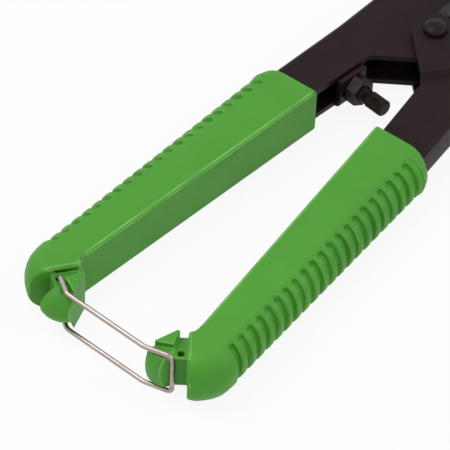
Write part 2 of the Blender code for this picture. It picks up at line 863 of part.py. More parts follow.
def build_blade_jaw():
    item = plate("blade_jaw", jaw_outline(0.0), -jaw_half, jaw_half)
    thin = blade_half_thickness
    for side in (1.0, -1.0):
        heel = [
            (jaw_heel_x + 0.0030, side * (jaw_half + 0.0005), 0.0),
            (jaw_heel_x + 0.0075, side * thin, 0.0),
            (jaw_tip_x + 0.01, side * thin, 0.0),
            (jaw_tip_x + 0.01, side * 0.02, 0.0),
            (jaw_heel_x + 0.0030, side * 0.02, 0.0),
        ]
        stand = Matrix(((1.0, 0.0, 0.0), (0.0, 0.0, 1.0), (0.0, 1.0, 0.0))).to_4x4()
        cut(item, moved(plate("thin", heel, -0.03, 0.03), stand))
        slope = (thin - blade_edge_half) / blade_bevel_depth
        bevel = [
            (blade_bevel_depth, side * thin, 0.0),
            (-0.0003, side * (blade_edge_half - slope * 0.0003), 0.0),
            (-0.0003, side * 0.02, 0.0),
            (blade_bevel_depth, side * 0.02, 0.0),
        ]
        lay = Matrix(((0.0, 0.0, 1.0), (1.0, 0.0, 0.0), (0.0, 1.0, 0.0))).to_4x4()
        cut(item, moved(plate("bevel", bevel, jaw_heel_x + 0.0005, 0.1), lay))
    cut(item, rod("jaw_hole", jaw_pin_x, jaw_pin_y, jaw_pin_radius + piece_gap, -0.02, 0.02))
    bolt_bore = strap_bolt_radius + piece_gap + 0.0001
    cut(item, rod("bolt_hole", strap_bolt_x, strap_bolt_y, bolt_bore, -0.02, 0.02))
    return moved(item, Matrix.Diagonal((1.0, -1.0, 1.0, 1.0)))


def build_strap(name, low, high):
    side = strap_radius
    outline = [
        (strap_bolt_x - side, -strap_bolt_y - side, side * 0.99),
        (strap_bolt_x + side, -strap_bolt_y - side, side * 0.99),
        (strap_bolt_x + side, strap_bolt_y + side, side * 0.99),
        (strap_bolt_x - side, strap_bolt_y + side, side * 0.99),
    ]
    item = plate(name, outline, low, high)
    for y in (strap_bolt_y, -strap_bolt_y):
        cut(item, rod("bolt_hole", strap_bolt_x, y, strap_bolt_radius + piece_gap, -0.02, 0.02))
    return item


def build_strap_bolt(name, y):
    profile = dome(strap_bolt_head_radius, strap_bolt_head_height, strap_high + piece_gap, 5)
    profile.append((strap_bolt_radius, strap_high + piece_gap))
    profile.append((strap_bolt_radius, -level + 0.0003))
    profile.append((strap_bolt_radius - 0.0003, -level))
    profile.append((0.0, -level))
    return moved(turned(name, profile), Matrix.Translation((strap_bolt_x, y, 0.0)))


def build_strap_nut(name, y):
    bore = strap_bolt_radius + piece_gap
    nut = hexagon(strap_nut_across, bore, -level, -strap_high - piece_gap, name)
    return moved(nut, Matrix.Translation((strap_bolt_x, y, 0.0)))


def build_spacer(name, low, high):
    item = rod(name, jaw_pin_x, -jaw_pin_y, 0.0050, low, high)
    cut(item, rod("spacer_bore", jaw_pin_x, -jaw_pin_y, jaw_pin_radius + piece_gap, -0.02, 0.02))
    return item


def build_stop_screw():
    end = stop_screw_reach
    radius = stop_screw_radius
    neck_end = lock_nut_thickness + stop_neck_length
    profile = [
        (0.0, end),
        (stop_head_radius - stop_chamfer, end),
        (stop_head_radius, end - stop_chamfer),
        (stop_head_radius, neck_end + stop_chamfer),
        (radius - stop_chamfer, neck_end),
        (radius - stop_chamfer, lock_nut_thickness + 2.0 * stop_chamfer),
        (radius, lock_nut_thickness + stop_chamfer),
        (radius, -sheet - stop_screw_tail + stop_chamfer),
        (radius - stop_chamfer, -sheet - stop_screw_tail),
        (0.0, -sheet - stop_screw_tail),
    ]
    item = turned("stop_screw", profile)
    return moved(item, stop_frame(0.0))


def build_lock_nut():
    low = piece_gap
    nut = hexagon(lock_nut_across, stop_screw_radius + piece_gap, low, low + lock_nut_thickness, "lock_nut")
    return moved(nut, stop_frame(0.0))


def build_latch_bail():
    pin = end_place(latch_pin_out, latch_pin_along)
    bend = end_place(latch_bend_out, latch_bend_along)
    bar = end_place(latch_bar_out, latch_bar_along)
    high = latch_height
    plan = [
        (pin.x, pin.y, latch_hook_radius),
        (bend.x, bend.y, latch_bend_radius),
        (latch_far_x, latch_far_y, latch_far_radius),
        (bar.x, -bar.y, latch_hook_radius),
    ]
    points = [(pin.x, pin.y, high - latch_pin_depth, 0.0)]
    points += [(x, y, high, radius) for x, y, radius in plan]
    points += [(x, y, -high, radius) for x, y, radius in plan[::-1]]
    points.append((pin.x, pin.y, -high + latch_pin_depth, 0.0))
    return tube("latch_bail", fillet(points, False, 22.5), wire_radius, 2)


def leave(end, radius, way):
    # Angle on the coil at which a straight leg to the given end runs off, coil turning by way.
    base = math.atan2(end.y, end.x)
    swing = math.acos(radius / end.length)
    return base - way * swing


def build_opening_spring():
    room = lever_inner - 0.0006
    leg_y = back_head_y - sheet - piece_gap - spring_wire_radius - 0.0001
    first_end = Vector((spring_leg_x, -leg_y))
    last_end = Vector((spring_leg_x, leg_y))
    start = leave(first_end, spring_radius, -1.0)
    finish = leave(last_end, spring_radius, 1.0)
    sweep = (finish - start) % (2.0 * math.pi) + 2.0 * math.pi * spring_turns
    rise = spring_pitch * sweep / (2.0 * math.pi)
    low = -rise / 2.0
    count = round(10 * sweep / (2.0 * math.pi))
    path = [(first_end.x, first_end.y, low)]
    for number in range(count + 1):
        share = number / count
        angle = start + sweep * share
        height = low + rise * share
        path.append((spring_radius * math.cos(angle), spring_radius * math.sin(angle), height))
    path.append((last_end.x, last_end.y, low + rise))
    report_gap(path, spring_wire_radius)
    half_height = rise / 2.0 + spring_wire_radius
    print("spring half height", round(1000.0 * half_height, 3), "of", 1000.0 * room, "mm")
    return tube("opening_spring", path, spring_wire_radius, 1)


def report_gap(path, radius):
    # Least distance between stretches of wire that are at least half a turn apart.
    fine = []
    for first, second in zip(path, path[1:]):
        for share in np.linspace(0.0, 1.0, 12, endpoint=False):
            fine.append(np.array(first) * (1.0 - share) + np.array(second) * share)
    fine = np.array(fine)
    run = np.concatenate(([0.0], np.cumsum(np.linalg.norm(np.diff(fine, axis=0), axis=1))))
    least = 1.0
    for index in range(len(fine)):
        far = np.abs(run - run[index]) > math.pi * spring_radius
        if far.any():
            least = min(least, np.linalg.norm(fine[far] - fine[index], axis=1).min())
    print("opening spring: least gap between turns", round(1000.0 * (least - 2.0 * radius), 3), "mm")


satin_black = paint("satin_black_paint", (0.018, 0.018, 0.020), 0.45, 0.0)
blade_black = paint("satin_black_paint_blade_side", (0.020, 0.020, 0.022), 0.45, 0.0)
green_left = paint("green_plastic_anvil_side", (0.090, 0.330, 0.045), 0.42, 0.0)
green_right = paint("green_plastic_blade_side", (0.090, 0.330, 0.045), 0.42, 0.0)
black_steel = paint("blackened_steel", (0.030, 0.030, 0.032), 0.35, 0.6)
spring_steel = paint("spring_steel", (0.42, 0.42, 0.43), 0.32, 1.0)
bright_wire = paint("bright_wire", (0.66, 0.63, 0.62), 0.25, 1.0)
screw_steel = paint("screw_steel", (0.50, 0.49, 0.47), 0.35, 1.0)
nut_steel = paint("nut_steel", (0.40, 0.39, 0.37), 0.38, 1.0)
jaw_steel = paint("forged_jaw_steel", (0.20, 0.20, 0.21), 0.40, 1.0)
blade_steel = paint("ground_blade_steel", (0.58, 0.58, 0.60), 0.24, 1.0)
soft_metal = paint("soft_anvil_metal", (0.70, 0.55, 0.28), 0.40, 1.0)
pin_steel = paint("pin_steel", (0.46, 0.46, 0.47), 0.35, 1.0)
strap_steel = paint("strap_steel", (0.060, 0.060, 0.064), 0.42, 0.4)

latch_pin = end_place(latch_pin_out, latch_pin_along)
handle_axis = axis_at("handle_pivot_axis", 0.0, 0.0)
anvil_jaw_axis = axis_at("anvil_jaw_axis", jaw_pin_x, jaw_pin_y)
blade_jaw_axis = axis_at("blade_jaw_axis", jaw_pin_x, -jaw_pin_y)
strap_axis = axis_at("strap_axis", strap_bolt_x, strap_bolt_y)
latch_axis = axis_at("latch_axis", latch_pin.x, latch_pin.y)
stop_place = stop_frame(0.0).translation
stop_axis = axis_at("stop_screw_axis", stop_place.x, stop_place.y)

pivot_crown = dome(pivot_head_radius, pivot_head_height, wide_outer + piece_gap)
blade_pin_crown = dome(jaw_pin_head_radius, jaw_pin_head_height, wide_outer + piece_gap, 4)

publish(build_anvil_lever(), satin_black)
publish(build_grip("anvil_side_grip", True), green_left)
publish(flush_rivet("pivot_rivet", 0.0, 0.0, pivot_shank_radius, pivot_crown), black_steel)
publish(build_anvil_jaw_pin(), black_steel)
publish(build_opening_spring(), spring_steel)

publish(build_blade_lever(), blade_black, handle_axis)
mirror = Matrix.Diagonal((1.0, -1.0, 1.0, 1.0))
publish(moved(build_grip("blade_side_grip", False), mirror), green_right, handle_axis)
blade_pin = flush_rivet("blade_jaw_pin", jaw_pin_x, -jaw_pin_y, jaw_pin_radius, blade_pin_crown)
publish(blade_pin, black_steel, handle_axis)
spacer_high = wide_inner - piece_gap
publish(build_spacer("blade_jaw_spacer_upper", strap_low, spacer_high), pin_steel, handle_axis)
publish(build_spacer("blade_jaw_spacer_lower", -spacer_high, -strap_low), pin_steel, handle_axis)

publish(build_anvil_jaw(), jaw_steel, anvil_jaw_axis)
publish(build_anvil(), soft_metal, anvil_jaw_axis)
publish(build_anvil_pin("anvil_pin_rear", anvil_pin_rear_x), pin_steel, anvil_jaw_axis)
publish(build_anvil_pin("anvil_pin_front", anvil_pin_front_x), pin_steel, anvil_jaw_axis)

publish(build_blade_jaw(), blade_steel, blade_jaw_axis)

publish(build_strap("upper_strap", strap_low, strap_high), strap_steel, strap_axis)
publish(build_strap("lower_strap", -strap_high, -strap_low), strap_steel, strap_axis)
publish(build_strap_bolt("anvil_strap_bolt", strap_bolt_y), screw_steel, strap_axis)
publish(build_strap_bolt("blade_strap_bolt", -strap_bolt_y), screw_steel, strap_axis)
publish(build_strap_nut("anvil_strap_nut", strap_bolt_y), nut_steel, strap_axis)
publish(build_strap_nut("blade_strap_nut", -strap_bolt_y), nut_steel, strap_axis)

publish(build_latch_bail(), bright_wire, latch_axis)
publish(build_stop_screw(), screw_steel, stop_axis)
publish(build_lock_nut(), nut_steel, stop_axis)

bpy.context.view_layer.update()
total = 0
for item in parts.objects:
    if item.type == "MESH":
        item.data.calc_loop_triangles()
        total += len(item.data.loop_triangles)
        print(item.name, len(item.data.loop_triangles), "triangles")
print("total", total, "triangles")
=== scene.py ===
import json
import math

import bmesh
import bpy
from mathutils import Matrix, Vector


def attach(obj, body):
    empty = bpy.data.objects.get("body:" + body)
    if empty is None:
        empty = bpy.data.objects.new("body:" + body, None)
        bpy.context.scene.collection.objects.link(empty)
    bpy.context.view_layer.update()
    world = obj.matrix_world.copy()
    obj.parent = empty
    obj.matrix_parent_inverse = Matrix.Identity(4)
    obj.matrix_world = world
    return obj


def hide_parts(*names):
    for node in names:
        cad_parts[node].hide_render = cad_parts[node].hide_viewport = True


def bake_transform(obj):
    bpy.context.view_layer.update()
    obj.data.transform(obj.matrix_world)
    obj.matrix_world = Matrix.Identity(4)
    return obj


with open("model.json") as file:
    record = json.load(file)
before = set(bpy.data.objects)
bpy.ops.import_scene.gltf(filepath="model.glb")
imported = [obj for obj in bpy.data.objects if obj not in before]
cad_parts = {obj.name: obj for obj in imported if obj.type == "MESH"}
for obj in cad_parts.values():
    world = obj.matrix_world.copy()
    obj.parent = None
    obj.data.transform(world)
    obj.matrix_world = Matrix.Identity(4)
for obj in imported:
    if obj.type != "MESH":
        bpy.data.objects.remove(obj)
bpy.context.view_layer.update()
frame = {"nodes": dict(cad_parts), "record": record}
nodes = frame["nodes"]
record = frame["record"]
bodyOf = {name: body for body, names in record["behaviour"]["bodies"].items() for name in names}
jointOf = {joint["name"]: joint for joint in record["behaviour"]["joints"]}
scene = bpy.context.scene
scene.view_settings.view_transform = "Standard"
print("frame loaded,", len(nodes), "solids")


def toLinear(hexText):
    channels = [int(hexText[place:place + 2], 16) / 255.0 for place in (1, 3, 5)]
    bent = [value / 12.92 if value <= 0.04045 else ((value + 0.055) / 1.055) ** 2.4 for value in channels]
    return (*bent, 1.0)


def addNode(tree, kind, inputs=None, **settings):
    node = tree.nodes.new(kind)
    for name, value in settings.items():
        setattr(node, name, value)
    for socket, value in (inputs or {}).items():
        if isinstance(value, bpy.types.NodeSocket):
            tree.links.new(value, node.inputs[socket])
        else:
            node.inputs[socket].default_value = value
    return node


def perMm(size):
    return 1000.0 / size  # texture scale whose features are about this many millimetres across


# How far apart each noise is spread before it drives colour, wear, roughness or relief.
pattern = {"cloudSpread": (0.35, 0.68), "wearAndHighlightSpread": (0.40, 0.62), "roughSpread": (0.3, 0.7),
           "cloudDetail": 4.0, "scuffDetail": 6.0, "scuffRoughness": 0.65, "grainDetail": 3.0,
           "reliefHeight": 0.0001}


def surface(name, settings):
    # Shared layout: two close colours clouded together, broken edges turned to a third, paler colour (rubbed
    # wear, and on the grips and levers a painted highlight), a roughness that wanders, and a fine relief.
    material = bpy.data.materials.new(name)
    material.use_nodes = True
    tree = material.node_tree
    shader = tree.nodes["Principled BSDF"]
    shader.inputs["Metallic"].default_value = settings["metallic"]
    for socket, value in settings.get("fixed", {}).items():
        shader.inputs[socket].default_value = value
    place = addNode(tree, "ShaderNodeTexCoord")
    stretch = addNode(tree, "ShaderNodeMapping", {
        "Vector": place.outputs["Object"], "Scale": settings.get("stretch", (1.0, 1.0, 1.0))})
    cloud = addNode(tree, "ShaderNodeTexNoise", {
        "Vector": stretch.outputs["Vector"], "Scale": perMm(settings["cloudMm"]),
        "Detail": pattern["cloudDetail"]})
    colour = addNode(tree, "ShaderNodeValToRGB", {"Fac": cloud.outputs["Fac"]})
    for stop, position, shade in zip(colour.color_ramp.elements, pattern["cloudSpread"], ("dark", "light")):
        stop.position = position
        stop.color = toLinear(settings[shade])
    scuff = addNode(tree, "ShaderNodeTexNoise", {
        "Vector": place.outputs["Object"], "Scale": perMm(settings["scuffMm"]),
        "Detail": pattern["scuffDetail"], "Roughness": pattern["scuffRoughness"]})
    patchy = addNode(tree, "ShaderNodeMapRange", {
        "Value": scuff.outputs["Fac"],
        "From Min": pattern["wearAndHighlightSpread"][0], "From Max": pattern["wearAndHighlightSpread"][1],
        "To Min": settings["wearAndHighlightRange"][0], "To Max": settings["wearAndHighlightRange"][1]})
    # the edge strips take the paler colour: rubbed wear, and a painted highlight on the grips and levers
    edges = addNode(tree, "ShaderNodeAttribute", attribute_name="edgeWearAndHighlight")
    wornAndLitEdge = addNode(tree, "ShaderNodeMath", {0: edges.outputs["Fac"], 1: patchy.outputs["Result"]},
                     operation="MULTIPLY")
    wearAndHighlight = addNode(tree, "ShaderNodeMix", {
        "Factor": wornAndLitEdge.outputs["Value"], "A": colour.outputs["Color"], "B": toLinear(settings["wornAndLitEdge"])},
        data_type="RGBA")
    tree.links.new(wearAndHighlight.outputs["Result"], shader.inputs["Base Color"])
    rough = addNode(tree, "ShaderNodeMapRange", {
        "Value": scuff.outputs["Fac"],
        "From Min": pattern["roughSpread"][0], "From Max": pattern["roughSpread"][1],
        "To Min": settings["roughness"][0], "To Max": settings["roughness"][1]})
    tree.links.new(rough.outputs["Result"], shader.inputs["Roughness"])
    grain = addNode(tree, "ShaderNodeTexNoise", {
        "Vector": stretch.outputs["Vector"], "Scale": perMm(settings["grainMm"]),
        "Detail": pattern["grainDetail"]})
    relief = addNode(tree, "ShaderNodeBump", {
        "Height": grain.outputs["Fac"], "Strength": settings["relief"], "Distance": pattern["reliefHeight"]})
    tree.links.new(relief.outputs["Normal"], shader.inputs["Normal"])
    return material


# Polypropylene, injection moulded in a lightly etched tool: even green, soft broad sheen, and a painted
# highlight that makes the edges and groove rims paler.
gripPlastic = surface("moulded polypropylene", {
    "dark": "#469328", "light": "#4E9E2F", "wornAndLitEdge": "#86CB66", "wearAndHighlightRange": (0.30, 0.75), "scuffMm": 9.0,
    "roughness": (0.42, 0.55), "metallic": 0.0, "fixed": {"IOR": 1.49, "Specular IOR Level": 0.30},
    "cloudMm": 26.0, "grainMm": 0.6, "relief": 0.16})

# Sheet steel, pressed and stove enamelled: warm black, satin, thin paint showing brownish along the sheared
# edges, which also carry a painted highlight.
leverEnamel = surface("satin black stove enamel", {
    "dark": "#1F1112", "light": "#261718", "wornAndLitEdge": "#5A504D", "wearAndHighlightRange": (0.20, 0.70), "scuffMm": 5.0,
    "roughness": (0.34, 0.46), "metallic": 0.0, "fixed": {"IOR": 1.5, "Specular IOR Level": 0.11},
    "cloudMm": 12.0, "grainMm": 1.3, "relief": 0.10})

# Rivet steel, blackened in hot oil: dark and slightly warm, a duller shine than paint.
oilBlack = surface("oil blackened rivet steel", {
    "dark": "#1B0F0F", "light": "#251717", "wornAndLitEdge": "#5E5551", "wearAndHighlightRange": (0.15, 0.60), "scuffMm": 2.0,
    "roughness": (0.30, 0.46), "metallic": 0.10, "fixed": {"Specular IOR Level": 0.14},
    "cloudMm": 3.0, "grainMm": 0.5, "relief": 0.10})

# Stainless wire, drawn through a die: warm grey, with fine scratches along its length.
drawnWire = surface("drawn stainless wire", {
    "dark": "#A0938E", "light": "#B3A6A0", "wornAndLitEdge": "#C9BDB8", "wearAndHighlightRange": (0.0, 0.4), "scuffMm": 1.5,
    "roughness": (0.20, 0.34), "metallic": 1.0,
    "cloudMm": 1.8, "grainMm": 0.3, "relief": 0.05, "stretch": (1.0, 0.15, 1.0)})

# Spring wire, oil tempered: darker and bluer than the latch wire.
springWire = surface("oil tempered spring wire", {
    "dark": "#5E5D60", "light": "#7F7E82", "wornAndLitEdge": "#9C9B9E", "wearAndHighlightRange": (0.0, 0.4), "scuffMm": 1.5,
    "roughness": (0.30, 0.42), "metallic": 1.0,
    "cloudMm": 1.2, "grainMm": 0.3, "relief": 0.12})

# Machine screw steel, black phosphate: warm black, its crystals scatter the shine.
phosphate = surface("black phosphate screw steel", {
    "dark": "#190D0C", "light": "#261615", "wornAndLitEdge": "#5C514A", "wearAndHighlightRange": (0.10, 0.60), "scuffMm": 1.6,
    "roughness": (0.36, 0.52), "metallic": 0.10, "fixed": {"Specular IOR Level": 0.16},
    "cloudMm": 1.2, "grainMm": 0.3, "relief": 0.20})

# Zinc plate on fasteners: pale grey with a slight cloud.
zincPlate = surface("bright zinc plate", {
    "dark": "#8F9092", "light": "#A5A6A7", "wornAndLitEdge": "#CBCCCC", "wearAndHighlightRange": (0.1, 0.6), "scuffMm": 2.0,
    "roughness": (0.26, 0.42), "metallic": 1.0,
    "cloudMm": 2.5, "grainMm": 0.3, "relief": 0.10})

# Tool steel, drop forged and shot blasted: grey and pitted, with no clear reflection.
forgedSteel = surface("shot blasted forged steel", {
    "dark": "#4C4B4D", "light": "#68676A", "wornAndLitEdge": "#9B9A9B", "wearAndHighlightRange": (0.1, 0.7), "scuffMm": 3.0,
    "roughness": (0.42, 0.58), "metallic": 0.9,
    "cloudMm": 5.0, "grainMm": 0.45, "relief": 0.35})

# Blade steel, surface ground: fine lines across the blade that stretch the highlight.
groundSteel = surface("ground blade steel", {
    "dark": "#77787C", "light": "#86878B", "wornAndLitEdge": "#B4B5B8", "wearAndHighlightRange": (0.2, 0.8), "scuffMm": 3.0,
    "roughness": (0.34, 0.46), "metallic": 1.0,
    "cloudMm": 1.6, "grainMm": 0.35, "relief": 0.16, "stretch": (1.0, 0.12, 1.0)})

# Brass strip, extruded and cut: warm yellow with dull handling stains.
brassStrip = surface("extruded brass strip", {
    "dark": "#A98B48", "light": "#CBB06C", "wornAndLitEdge": "#E0CB8E", "wearAndHighlightRange": (0.1, 0.6), "scuffMm": 3.0,
    "roughness": (0.28, 0.44), "metallic": 1.0,
    "cloudMm": 4.0, "grainMm": 0.4, "relief": 0.12, "stretch": (0.2, 1.0, 1.0)})
print("finishes made")


# The solids come as loose triangles: corners closer than weld are one, faces within flatAngle are one.
cleaning = {"weld": 0.000004, "flatAngle": 0.004}


def weldedCopy(nodeName):
    shape = bmesh.new()
    shape.from_mesh(nodes[nodeName].data)
    bmesh.ops.remove_doubles(shape, verts=shape.verts, dist=cleaning["weld"])
    return shape


def joinFlats(shape):
    bmesh.ops.dissolve_limit(shape, angle_limit=cleaning["flatAngle"], verts=shape.verts, edges=shape.edges)


def breakEdges(shape, settings):
    # Bevels every hard edge and marks the new strips, so that the finish can be paler there: rubbed wear,
    # and on the grips and levers a painted highlight.
    # Crowded edges, those with a neighbour shorter than room, are held back where bevels would meet.
    # Without a room every edge counts as crowded.
    wearAndHighlight = shape.faces.layers.float.new("edgeWearAndHighlight")
    limit = math.radians(settings["hardDegrees"])
    for crowded in (False, True):
        hard = []
        for edge in shape.edges:
            shortest = min(near.calc_length() for vert in edge.verts for near in vert.link_edges)
            isHard = len(edge.link_faces) == 2 and edge.calc_face_angle(0.0) > limit
            if isHard and (shortest < settings.get("room", math.inf)) == crowded:
                hard.append(edge)
        made = bmesh.ops.bevel(shape, geom=hard, offset=settings["edge"], offset_type="OFFSET",
                               affect="EDGES", segments=settings["segments"], profile=0.5, material=-1,
                               clamp_overlap=crowded)
        for face in made["faces"]:
            face[wearAndHighlight] = 1.0


def makePiece(nodeName, shape, material, hardDegrees, rides=True):
    mesh = bpy.data.meshes.new(nodeName + "Skin")
    shape.to_mesh(mesh)
    shape.free()
    for face in mesh.polygons:
        face.use_smooth = True
    mesh.set_sharp_from_angle(angle=math.radians(hardDegrees))
    mesh.materials.append(material)
    piece = bpy.data.objects.new(nodeName + "Skin", mesh)
    scene.collection.objects.link(piece)
    if rides:
        even = piece.modifiers.new("evenShading", "WEIGHTED_NORMAL")  # flats stay flat beside rounded edges
        even.keep_sharp = True
        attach(piece, bodyOf[nodeName])
    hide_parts(nodeName)
    return piece


def dress(nodeName, material, settings, rides=True):
    # A welded copy of the solid with its hard edges broken and its curves shaded smooth.
    shape = weldedCopy(nodeName)
    joinFlats(shape)
    breakEdges(shape, settings)
    bmesh.ops.recalc_face_normals(shape, faces=shape.faces)
    return makePiece(nodeName, shape, material, settings["hardDegrees"], rides)


# Grips: the solid's rib field is taken off and moulded again, with round-ended grooves in a sunk panel.
ribField = {
    "level": 0.0081, "halfHeight": 0.0081, "mouthX": -0.0445, "frontX": -0.0485, "rearX": -0.1415,
    "creaseY": 0.0250, "creaseSlope": 0.0579, "outerY": 0.0322, "outerSlope": 0.0404,
    "ringDegrees": (0.0, 10.0, 28.0, 46.0, 64.0, 82.0, 98.0, 116.0, 134.0, 152.0, 170.0, 180.0),
    "ringRun": 0.0008, "stepsLong": 560, "stepsRound": 104,
    "panelDrop": 0.00035, "panelBorder": 0.00025, "panelRun": 0.00025, "panelCorner": 0.0036,
    "grooveFirst": -0.0520, "groovePitch": 0.00437, "grooveCount": 21, "grooveHalf": 0.00135,
    "grooveDepth": 0.0015, "wallInside": 0.00045, "wallOutside": 0.00012, "grooveInset": 0.0006,
    "rimShare": (0.02, 0.12, 0.25, 0.55), "slack": 0.00001}
moulded = {"edge": 0.00032, "segments": 3, "hardDegrees": 34.0, "room": 0.0007,
           "sliver": 0.00025, "tailX": -0.1390, "flatArea": 0.0003}


def smoothRise(low, high, value):
    share = min(1.0, max(0.0, (value - low) / (high - low)))
    return share * share * (3.0 - 2.0 * share)


def creaseAt(x, rib):
    return rib["creaseY"] + rib["creaseSlope"] * (rib["mouthX"] - x)


def ribDepth(x, run, rib):
    # Depth below the plain grip at a station, run being the way round from the nearer crease.
    inset = min(rib["frontX"] - x, x - rib["rearX"])
    cornerInset = rib["panelCorner"] - inset
    cornerRun = rib["panelCorner"] - run
    inside = min(inset, run)
    if cornerInset > 0.0 and cornerRun > 0.0:
        inside = rib["panelCorner"] - math.hypot(cornerInset, cornerRun)
    depth = rib["panelDrop"] * smoothRise(rib["panelBorder"], rib["panelBorder"] + rib["panelRun"], inside)
    number = round((rib["grooveFirst"] - x) / rib["groovePitch"])
    if 0 <= number < rib["grooveCount"]:
        aside = x - rib["grooveFirst"] + number * rib["groovePitch"]
        short = max(0.0, rib["grooveInset"] + rib["grooveHalf"] - run)
        beyond = math.hypot(aside, short) - rib["grooveHalf"]
        depth += rib["grooveDepth"] * (1.0 - smoothRise(-rib["wallInside"], rib["wallOutside"], beyond))
    return depth


def ribSheet(side, rib):
    sheet = bmesh.new()
    bmesh.ops.create_grid(sheet, x_segments=rib["stepsLong"], y_segments=rib["stepsRound"], size=1.0)
    wearAndHighlight = sheet.faces.layers.float.new("edgeWearAndHighlight")
    ring = [math.radians(angle) for angle in rib["ringDegrees"]]
    depthAt = {}
    for vert in sheet.verts:
        x = rib["frontX"] + (rib["rearX"] - rib["frontX"]) * (vert.co.x + 1.0) / 2.0
        turn = math.pi * (vert.co.y + 1.0) / 2.0
        crease = creaseAt(x, rib)
        wide = rib["outerY"] + rib["outerSlope"] * (rib["mouthX"] - x) - crease
        step = max(place for place in range(len(ring) - 1) if ring[place] <= turn + 1e-9)
        share = (turn - ring[step]) / (ring[step + 1] - ring[step])
        chord = Vector((math.sin(ring[step]), math.cos(ring[step]))).lerp(
            Vector((math.sin(ring[step + 1]), math.cos(ring[step + 1]))), share)
        # the first and last stations lie on the solid's own many-sided ring, so that no gap opens
        rounding = smoothRise(0.0, rib["ringRun"], min(rib["frontX"] - x, x - rib["rearX"]))
        aim = chord.lerp(Vector((math.sin(turn), math.cos(turn))), rounding)
        depth = ribDepth(x, min(turn, math.pi - turn) * (wide + rib["halfHeight"]) / 2.0, rib)
        depthAt[vert] = depth
        vert.co = (x, side * (crease + (wide - depth) * aim.x),
                   rib["level"] + (rib["halfHeight"] - depth) * aim.y)
    # the groove rims get the paler edge colour, a painted highlight
    for face in sheet.faces:
        sunk = sum(depthAt[vert] for vert in face.verts) / len(face.verts)
        share = (sunk - rib["panelDrop"]) / rib["grooveDepth"]
        rimStart, rimFull, rimFade, rimEnd = rib["rimShare"]
        face[wearAndHighlight] = smoothRise(rimStart, rimFull, share) * (1.0 - smoothRise(rimFade, rimEnd, share))
    bmesh.ops.recalc_face_normals(sheet, faces=sheet.faces)
    sheet.normal_update()
    middleFace = min(sheet.faces, key=lambda face: abs(face.calc_center_median().z - rib["level"]))
    if middleFace.normal.y * side < 0.0:
        bmesh.ops.reverse_faces(sheet, faces=sheet.faces)
    mesh = bpy.data.meshes.new("ribSheet")
    sheet.to_mesh(mesh)
    sheet.free()
    return mesh


def dressGrip(nodeName, side, rib, settings):
    shape = weldedCopy(nodeName)
    slack = rib["slack"]
    ribbed = []
    for face in shape.faces:
        onField = all(rib["rearX"] - slack <= vert.co.x <= rib["frontX"] + slack
                      and side * vert.co.y >= creaseAt(vert.co.x, rib) - slack for vert in face.verts)
        middle = face.calc_center_median()
        outward = Vector((0.0, middle.y - side * creaseAt(middle.x, rib), middle.z - rib["level"]))
        if onField and face.normal.dot(outward) > 0.0:
            ribbed.append(face)
    bmesh.ops.delete(shape, geom=ribbed, context="FACES")
    joinFlats(shape)
    tail = [edge for edge in shape.edges if max(vert.co.x for vert in edge.verts) < settings["tailX"]]
    bmesh.ops.dissolve_degenerate(shape, dist=settings["sliver"], edges=tail)
    breakEdges(shape, settings)
    lowerFace = rib["level"] - rib["halfHeight"]
    for vert in shape.verts:
        vert.co.z = max(vert.co.z, lowerFace)  # the grip lies flat on its lower face
    sheet = ribSheet(side, rib)
    shape.from_mesh(sheet)
    bpy.data.meshes.remove(sheet)
    piece = makePiece(nodeName, shape, gripPlastic, settings["hardDegrees"])
    for face in piece.data.polygons:
        face.use_smooth = face.area < settings["flatArea"]  # the large flats keep one even shade
    return piece


dressGrip("anvil_side_grip", 1.0, ribField, moulded)
dressGrip("blade_side_grip", -1.0, ribField, moulded)
print("grips moulded")

# Stop screw: a spun profile with a diamond knurled head and thread ridges on the neck.
stopScrew = {"around": 36, "chamfer": 0.00045, "knurlLength": 0.0068, "knurlStep": 0.00050,
             "knurlHeight": 0.00045, "knurlPaleShare": 0.5, "reach": 0.0132, "nutThickness": 0.0043,
             "headRadius": 0.0027, "radius": 0.0024, "threadPitch": 0.0007, "threadDepth": 0.00040,
             "weld": 0.000002, "slack": 0.00001, "hardDegrees": 24.0}


